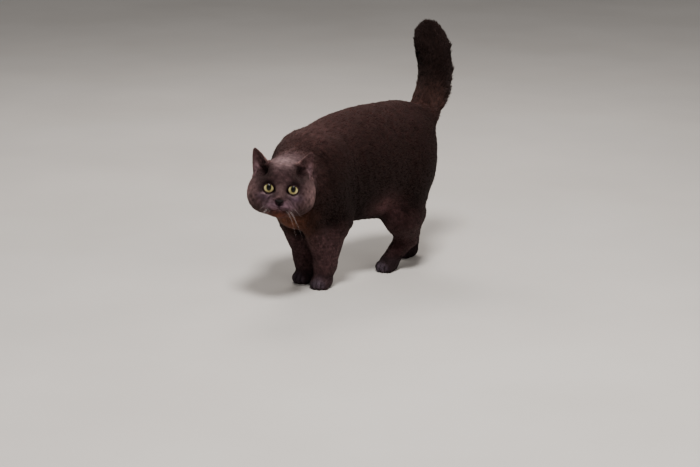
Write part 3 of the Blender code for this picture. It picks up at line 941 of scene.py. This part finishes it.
def special_places(points, shares):
    """The places of TUFT_CHANGES, with how far each point lies in them."""
    in_head = into_head(points)
    behind, height = in_head[:, 1], in_head[:, 2]
    head = share_of(shares, "head")
    yield "face", head * (1 - ramp(behind, -0.004, 0.036))
    yield "cheek", head * ramp(behind, 0.02, 0.045) * (1 - ramp(height, 0.0, 0.03))
    for side in SIDES.values():
        yield "ear_front", head * spot(in_head, *EAR_FRONT, side)
        away, opening = around_eye(in_head, side)
        yield "eye", head * (behind < EYE_REAR) * (1 - ramp(away, opening, opening + EYE_SURROUND))
    inside, across, rise = ear_inside(in_head)
    furnished = (1 - ramp(across, -0.3, 0.5)) * (1 - ramp(rise, 0.3, 0.7))
    yield "furnishing", share_of(shares, "ear") * inside * furnished
    yield "fringe", share_of(shares, "tail") * behind_tail(points)


def tuft_sizes(points, shares):
    """Length, width and lift of the tufts that grow at these points."""
    length, width = blended(shares, "length"), blended(shares, "width")
    lift = np.radians(blended(shares, "lift"))
    for place, share in special_places(points, shares):
        longer, wider, higher = TUFT_CHANGES[place]
        length *= 1 + longer * share
        width *= 1 + wider * share
        lift += higher * share
    return length, width, lift


def tufts(skin, chosen, density):
    """The corners, colours and roots of the tufts on some of the skin's triangles."""
    read = skin.roots(chosen, density)
    root, normal, lie = read(skin.points), unit(read(skin.normals)), read(skin.lie)
    shares, colour = read(skin.shares), read(skin.colour)
    kept = ~is_bare(root)
    root, normal, lie, shares, colour = (values[kept] for values in (root, normal, lie, shares, colour))
    count = len(root)

    lie = laid(lie, normal)
    beside = np.cross(normal, lie)
    turn = 0.16 * wavering(root, scale=200, seed=3) + rng.normal(0, TURN_SPREAD, count)
    lie, beside = turned(lie, beside, turn), turned(beside, -lie, turn)
    length, width, lift = tuft_sizes(root, shares)
    length = length * rng.uniform(*LENGTH_RANGE, count) * (1 + 0.12 * wavering(root, scale=300, seed=5))
    width = width * rng.uniform(*WIDTH_RANGE, count)
    lift = lift * (1 + 0.3 * wavering(root, scale=420, seed=7)) + rng.normal(0, LIFT_SPREAD, count)

    bend = root + turned(lie, normal, lift * ROOT_RISE) * (BEND_AT * length)[:, None]
    tip = bend + turned(lie, normal, lift * TIP_RISE) * ((1 - BEND_AT) * length)[:, None]
    tip = gathered(root, tip)
    half = beside * (0.5 * width)[:, None]
    base = root - normal * (0.12 * width)[:, None]
    bend = bend + normal * (0.25 * width)[:, None]
    corners = np.stack((base, bend - half, bend + half, tip), axis=1)
    corners[..., 2] = np.maximum(corners[..., 2], LOWEST_HAIR)
    lock = 1 + LOCK_SHADES * sum(wavering(root, *waves) for waves in LOCK_WAVES)
    shade = (rng.uniform(*SHADE_RANGE, count) * lock)[:, None, None] * TUFT_SHADES[:, None]
    return corners, colour[:, None, :] * shade, root


def gathered(root, tip):
    """Draws each tip towards the tip of a neighbour, so that the tufts fall into small locks."""
    leaders = np.arange(0, len(root), CLUMP_OF)
    shift = tip[nearest(root, root[leaders], leaders)] - tip
    return tip + CLUMPING * shift * (np.linalg.norm(shift, axis=1) < CLUMP_REACH)[:, None]


def unwrap(points, kinds, side):
    """Where each root lies on an unwrap of its piece: round the part's axis, and along it."""
    if "head" in kinds:
        local = into_head(points) - (0, 0.03, -0.004)
        ahead = np.arccos(np.clip(-unit(local)[:, 1], -1, 1)) / math.pi
        around = np.arctan2(side * local[:, 0], local[:, 2]) / math.pi
        return np.column_stack((ahead, 0.5 + around / 2))
    if "ear" in kinds:
        local = into_head(points)
        behind = local[:, 1] > 0.04
        left = local[:, 0] > 0
        across = (np.abs(local[:, 0]) - 0.015) / 0.045
        return np.column_stack(((across + behind + 2 * left) / 4, local[:, 2] / 0.07))
    if "trunk" in kinds or "neck" in kinds:
        axis_height = (TRUNK_LOW.z + TRUNK_HIGH.z) / 2
        around = np.arctan2(points[:, 0] - GROUND.x, points[:, 2] - axis_height) / (2 * math.pi) + 0.5
        return np.column_stack((spanned(points[:, 1]), around))
    axis_x, axis_y, _ = points.mean(axis=0)
    if "tail" in kinds:
        axis_x, axis_y = GROUND.x, tail_middle(points[:, 2])
    around = np.arctan2(points[:, 0] - axis_x, points[:, 1] - axis_y) / (2 * math.pi) + 0.5
    return np.column_stack((around, spanned(points[:, 2])))


def spanned(values):
    return (values - values.min()) / (values.max() - values.min())


def mesh_of(name, points, triangles):
    mesh = bpy.data.meshes.new(name)
    mesh.vertices.add(len(points))
    mesh.vertices.foreach_set("co", points.astype(np.float32).ravel())
    mesh.loops.add(triangles.size)
    mesh.loops.foreach_set("vertex_index", triangles.astype(np.int32).ravel())
    mesh.polygons.add(len(triangles))
    mesh.polygons.foreach_set("loop_start", np.arange(0, triangles.size, 3, dtype=np.int32))
    mesh.polygons.foreach_set("use_smooth", np.ones(len(triangles), bool))
    mesh.update(calc_edges=True)
    return mesh


def make_coat_piece(skin, name, kinds, side, half, density):
    """One mesh of tufts with the coat's colours and its OFBake map."""
    corners, colour, root = tufts(skin, skin.within(kinds, side, half), density)
    first = len(TUFT_PATCH) * np.arange(len(root))
    triangles = (TUFT_TRIANGLES[None] + first[:, None, None]).reshape(-1, 3)
    mesh = mesh_of(name, corners.reshape(-1, 3), triangles)
    paint(mesh, colour.reshape(-1, 3))
    patch = unwrap(root, kinds, side).clip(0, 1) * (1 - PATCH)
    corner_uv = (patch[:, None, :] + PATCH * TUFT_PATCH[None]).reshape(-1, 2)
    layer = mesh.uv_layers.new(name="OFBake")
    layer.uv.foreach_set("vector", corner_uv[triangles.ravel()].astype(np.float32).ravel())
    return link(mesh, name)


# --- Materials ---


def set_inputs(node, **sockets):
    """Sets a node's inputs by name, with _ for a space."""
    for socket, value in sockets.items():
        node.inputs[socket.replace("_", " ")].default_value = value


class Shader:
    """A material with helpers that add and join its nodes."""

    def __init__(self, name, roughness, **sockets):
        self.material = bpy.data.materials.new(name)
        self.material.use_nodes = True
        self.tree = self.material.node_tree
        self.surface = self.tree.nodes["Principled BSDF"]
        set_inputs(self.surface, Roughness=roughness, **sockets)

    def add(self, kind, *inputs, **settings):
        """A node whose inputs are set in order, from values or from other nodes' outputs. None skips one."""
        node = self.tree.nodes.new(kind)
        for setting, value in settings.items():
            setattr(node, setting, value)
        for socket, value in zip(node.inputs, inputs):
            if isinstance(value, bpy.types.NodeSocket):
                self.tree.links.new(value, socket)
            elif value is not None:
                socket.default_value = value
        return node

    def noise(self, scale, detail=2.0, roughness=0.5, at=None):
        node = self.add("ShaderNodeTexNoise", at or self.place())
        set_inputs(node, Scale=scale, Detail=detail, Roughness=roughness)
        return node.outputs["Fac"]

    def place(self):
        return self.add("ShaderNodeTexCoord").outputs["Object"]

    def math(self, operation, *values):
        return self.add("ShaderNodeMath", *values, operation=operation).outputs[0]

    def between(self, value, start, end, low, high):
        return self.add("ShaderNodeMapRange", value, start, end, low, high).outputs[0]

    def ramp(self, value, *stops):
        """Colours along a value, from (place, colour) stops."""
        node = self.add("ShaderNodeValToRGB", value)
        elements = node.color_ramp.elements
        while len(elements) < len(stops):
            elements.new(0.5)
        for element, (place, colour) in zip(elements, stops):
            element.position = place
            element.color = (*colour, 1)
        return node.outputs["Color"]

    def vector(self, operation, *values):
        return self.add("ShaderNodeVectorMath", *values, operation=operation).outputs["Vector"]

    def length(self, vector):
        return self.add("ShaderNodeVectorMath", vector, operation="LENGTH").outputs["Value"]

    def scaled(self, colour, factor):
        node = self.add("ShaderNodeVectorMath", colour, operation="SCALE")
        self.tree.links.new(factor, node.inputs["Scale"])
        return node.outputs["Vector"]

    def colour(self, output):
        self.tree.links.new(output, self.surface.inputs["Base Color"])

    def bump(self, height, strength, distance):
        node = self.add("ShaderNodeBump")
        set_inputs(node, Strength=strength, Distance=distance)
        self.tree.links.new(height, node.inputs["Height"])
        self.tree.links.new(node.outputs["Normal"], self.surface.inputs["Normal"])


def fur(name, bump_strength):
    """Soft plush: the painted coat colour, mottled, with a dusty sheen."""
    shader = Shader(name, 0.6, Specular_IOR_Level=0.08, Sheen_Weight=0.05, Sheen_Roughness=0.4)
    set_inputs(shader.surface, Specular_Tint=(1.00, 0.72, 0.68, 1), Sheen_Tint=(0.95, 0.68, 0.66, 1))
    painted = shader.add("ShaderNodeAttribute", attribute_name="coat").outputs["Color"]
    patches = shader.between(shader.noise(120, 4, 0.6), 0.3, 0.7, 0.74, 1.28)
    strands = shader.between(shader.noise(1100, 2), 0.3, 0.7, 0.88, 1.13)
    shader.colour(shader.scaled(painted, shader.math("MULTIPLY", patches, strands)))
    shader.bump(shader.noise(1500, 3, 0.6), bump_strength, 0.0006)
    return shader.material


def eye_material():
    """A round dark pupil in a fibrous yellow-green iris, with a dark rim, under a wet gloss."""
    shader = Shader("eye", 0.3, Specular_IOR_Level=0.1, Coat_Weight=0.28, Coat_Roughness=0.03)
    place = shader.place()
    flat = shader.vector("MULTIPLY", place, (1, 0, 1))
    from_axis = shader.length(flat)
    from_pupil = shader.length(shader.vector("MULTIPLY", place, (1, 0, PUPIL_NARROWNESS)))
    around = shader.vector("NORMALIZE", flat)
    spokes = shader.scaled(around, shader.between(from_axis, 0, EYE_RADIUS, 0.8, 1.2))
    fibres = shader.noise(7, 4, 0.7, spokes)
    blotches = shader.noise(420, 2, 0.5, place)
    wobble = shader.between(fibres, 0.3, 0.7, -0.012, 0.012)
    iris = shader.ramp(
        shader.math("ADD", shader.math("DIVIDE", from_pupil, EYE_RADIUS), wobble),
        (0.000, PUPIL_COLOUR),
        (0.345, PUPIL_COLOUR),
        (0.37, (0.085, 0.075, 0.02)),
        (0.45, (0.34, 0.305, 0.12)),
        (0.6, (0.52, 0.455, 0.215)),
    )
    edge = shader.ramp(
        shader.math("ADD", shader.math("DIVIDE", from_axis, EYE_RADIUS), wobble),
        (0.74, (1.00, 1.00, 1.00)),
        (0.8, (0.3, 0.25, 0.2)),
        (0.86, (0.02, 0.015, 0.012)),
    )
    rings = shader.vector("MULTIPLY", iris, edge)
    height = shader.add("ShaderNodeSeparateXYZ", place).outputs["Z"]
    # Painted shadow of the upper lid: the iris darker towards its top and lighter at its bottom.
    shade = shader.between(height, -0.6 * EYE_RADIUS, 0.7 * EYE_RADIUS, 1.25, 0.45)
    bright_fibres = shader.between(fibres, 0.3, 0.7, 0.72, 1.25)
    light = shader.math("MULTIPLY", bright_fibres, shader.between(blotches, 0.3, 0.7, 0.85, 1.1))
    shader.colour(shader.scaled(rings, shader.math("MULTIPLY", light, shade)))
    return shader.material


def nose_material():
    shader = Shader("nose", 0.45, Specular_IOR_Level=0.08)
    tone = shader.noise(600, 3)
    shader.colour(shader.ramp(tone, (0.3, (0.002, 0.0015, 0.0015)), (0.7, (0.006, 0.004, 0.004))))
    pebbles = shader.add("ShaderNodeTexVoronoi", shader.place())
    set_inputs(pebbles, Scale=1700)
    shader.bump(pebbles.outputs["Distance"], 0.5, 0.0003)
    return shader.material


def whisker_material():
    shader = Shader("whisker", 0.35, Specular_IOR_Level=0.5, Sheen_Weight=0.2)
    tone = shader.noise(90, 2)
    shader.colour(shader.ramp(tone, (0.3, (0.36, 0.3, 0.3)), (0.7, (0.55, 0.48, 0.48))))
    return shader.material


def floor_material():
    shader = Shader("floor", 0.55, Specular_IOR_Level=0.25)
    tone = shader.noise(2.5, 4)
    shader.colour(shader.ramp(tone, (0.35, (0.54, 0.515, 0.49)), (0.65, (0.58, 0.555, 0.53))))
    shader.bump(shader.noise(60, 3), 0.05, 0.002)
    return shader.material


# --- Eyes, nose and whiskers ---


def make_ball(name, segments, rings, radius):
    bpy.ops.mesh.primitive_uv_sphere_add(segments=segments, ring_count=rings, radius=radius)
    bpy.ops.object.shade_smooth()
    ball = bpy.context.object
    ball.name = name
    return ball


def make_eye(side):
    """An eyeball that looks into the camera."""
    eye = make_ball("eyeball_" + side, segments=64, rings=40, radius=EYE_RADIUS)
    eye.data.transform(Matrix.Rotation(math.pi / 2, 4, "X"))
    centre = middle("eye_" + side)
    gaze = (CAMERA_AT + GROUND - centre).normalized()
    upright = HEAD_TURN.to_matrix() @ Vector((0, 0, 1))
    beside = upright.cross(gaze).normalized()
    turn = Matrix((beside, -gaze, gaze.cross(beside))).transposed()
    eye.matrix_world = Matrix.Translation(centre) @ turn.to_4x4()
    return eye


def make_nose():
    """The nose leather: wide above, a point below, with two nostrils and a parting between them."""
    nose = make_ball("nose_leather", segments=96, rings=64, radius=1)
    x, y, z = positions(nose.data).T
    height = np.where(z > 0, NOSE_TOP, -NOSE_POINT) * z * (1.25 - 0.25 * np.abs(z))
    share = (NOSE_TOP - height) / (NOSE_TOP - NOSE_POINT)
    half_width = NOSE_HALF_WIDTH * (1 - 0.86 * share**NOSE_TAPER)
    side = np.abs(x)
    nostril = np.exp(-(((side - 0.66) / 0.15) ** 2) - ((z + 0.05 - 0.5 * (side - 0.6)) / 0.16) ** 2)
    wing = np.exp(-(((side - 0.75) / 0.25) ** 2) - ((z - 0.35) / 0.35) ** 2)
    parting = np.exp(-((x / 0.07) ** 2)) * (z < 0.3)
    roundness = np.clip(1 - (x**2 + z**2) ** 1.5, 0, 1) ** 0.5
    carving = 0.65 * nostril + 0.16 * parting - 0.1 * wing
    bulge = np.where(y < 0, carving - roundness, roundness)
    depth = 0.0042 * bulge - NOSE_SLOPE * height + 0.001 * np.maximum(z, 0) ** 2
    closing = np.clip(4.5 * (1 - np.abs(z)), 0, 1) ** 0.5
    across = x / np.sqrt(np.clip(1 - z**2, 1e-6, 1)) * half_width * closing
    set_positions(nose.data, out_of_head(np.column_stack((across, depth, height)) + NOSE_IN_HEAD))
    return nose


def tube(points, radius, sides=6):
    """Corners and triangles of a tube along some points, that tapers to its far end."""
    points = np.asarray(points)
    ways = unit(np.gradient(points, axis=0))
    across = unit(np.cross(ways, (0.3, 0.5, 0.8)))
    above = np.cross(ways, across)
    angles = np.arange(sides) * 2 * math.pi / sides
    taper = radius * (1 - 0.85 * np.linspace(0, 1, len(points)) ** 1.5)[:, None, None]
    ring = across[:, None] * np.cos(angles)[:, None] + above[:, None] * np.sin(angles)[:, None]
    corners = points[:, None] + taper * ring
    rings = np.arange(len(points) - 1)[:, None] * sides
    here = rings + np.arange(sides)
    after = rings + (np.arange(sides) + 1) % sides
    walls = np.stack((here, after, after + sides, here, after + sides, here + sides), axis=-1).reshape(-1, 3)
    last = (len(points) - 1) * sides
    near_end = [(0, k + 1, k) for k in range(1, sides - 1)]
    far_end = [(last, last + k, last + k + 1) for k in range(1, sides - 1)]
    return corners.reshape(-1, 3), np.vstack((walls, near_end, far_end))


def whisker_path(root, way, length, droop):
    """Points along a whisker in the head's frame: straight out at first, then drooping."""
    share = np.linspace(0, 1, WHISKER_POINTS)[:, None]
    way = unit(np.array(way, float))
    return np.array(root) + way * length * share + np.array((0, 0.1, -1)) * droop * length * share**2


def whisker_paths():
    """The whiskers in rows on the pads, the hindmost longer, and the few long ones."""
    paths = []
    for side in SIDES.values():
        for row in range(WHISKER_ROWS):
            for place in range(WHISKERS_PER_ROW):
                root = (side * (0.01 + 0.0045 * place), -0.019 + 0.0042 * place, -0.0235 - 0.0027 * row)
                rise = -0.05 - 0.24 * row + rng.normal(0, 0.08)
                way = (side * (1.0 + 0.1 * place), 0.32 + 0.28 * place, rise)
                length = (0.016 + 0.007 * place) * rng.uniform(0.8, 1.2)
                paths.append(whisker_path(root, way, length, rng.uniform(0.35, 0.75)))
    return paths + [whisker_path(*whisker) for whisker in LONG_WHISKERS]


def make_whiskers():
    corners, triangles, count = [], [], 0
    for path in whisker_paths():
        points, faces = tube(out_of_head(path), WHISKER_RADIUS)
        corners.append(points)
        triangles.append(faces + count)
        count += len(points)
    return link(mesh_of("whiskers", np.vstack(corners), np.vstack(triangles)), "whiskers")


# --- The scene ---


def make_camera():
    data = bpy.data.cameras.new("camera")
    data.lens = data.sensor_width * FOCAL_WIDTHS
    camera = link(data, "camera")
    camera.location = CAMERA_AT + GROUND
    camera.rotation_euler = (math.pi / 2 - CAMERA_PITCH, 0, CAMERA_BEARING)
    bpy.context.scene.camera = camera


def make_light(name, towards_camera, to_left, height, size, watts, colour, in_gloss):
    """A soft square light at a place given from the camera's side, aimed at the cat."""
    centre = (cad_box[0] + cad_box[1]) / 2
    towards = Vector((math.sin(CAMERA_BEARING), -math.cos(CAMERA_BEARING), 0))
    left = Vector((-math.cos(CAMERA_BEARING), -math.sin(CAMERA_BEARING), 0))
    data = bpy.data.lights.new(name, "AREA")
    data.size, data.energy, data.color = size, watts, colour
    lamp = link(data, name)
    lamp.location = centre + towards * towards_camera + left * to_left + Vector((0, 0, height))
    lamp.rotation_euler = (centre - lamp.location).to_track_quat("-Z", "Y").to_euler()
    lamp.visible_glossy = in_gloss


def make_surroundings():
    bpy.ops.mesh.primitive_plane_add(size=30)
    floor = bpy.context.object
    floor.name = "floor"
    floor.data.materials.append(floor_material())
    world = bpy.data.worlds.new("world")
    world.use_nodes = True
    set_inputs(world.node_tree.nodes["Background"], Color=(1.0, 0.97, 0.94, 1), Strength=0.26)
    bpy.context.scene.world = world
    for name, settings in LIGHTS.items():
        make_light(name, *settings)


def finish_piece(piece, material, slot, *nodes):
    piece.data.materials.append(material)
    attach(piece, "root")
    if nodes:
        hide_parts(*nodes)


def main():
    skin_mesh, shares = make_skin()
    skin = Skin(skin_mesh, shares)
    paint(skin_mesh, dark_rims(skin.points, skin.colour))
    flesh = [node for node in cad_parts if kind_of(node) in REGIONS]
    finish_piece(link(skin_mesh, "skin"), fur("skin_fur", 0.55), "coat_body", *flesh)

    coat = fur("coat_fur", 0.25)
    for name, (slot, kinds, half, paired, density) in COAT_PIECES.items():
        sides = {"_" + side: sign for side, sign in SIDES.items()} if paired else {"": 0}
        for ending, side in sides.items():
            piece = make_coat_piece(skin, name + ending, kinds, side, half, density)
            finish_piece(piece, coat, slot)

    eye = eye_material()
    for side in SIDES:
        finish_piece(make_eye(side), eye, "iris", "eye_" + side)
    finish_piece(make_nose(), nose_material(), "nose_leather", "nose")
    finish_piece(make_whiskers(), whisker_material(), "coat_head")

    make_surroundings()
    make_camera()


main()
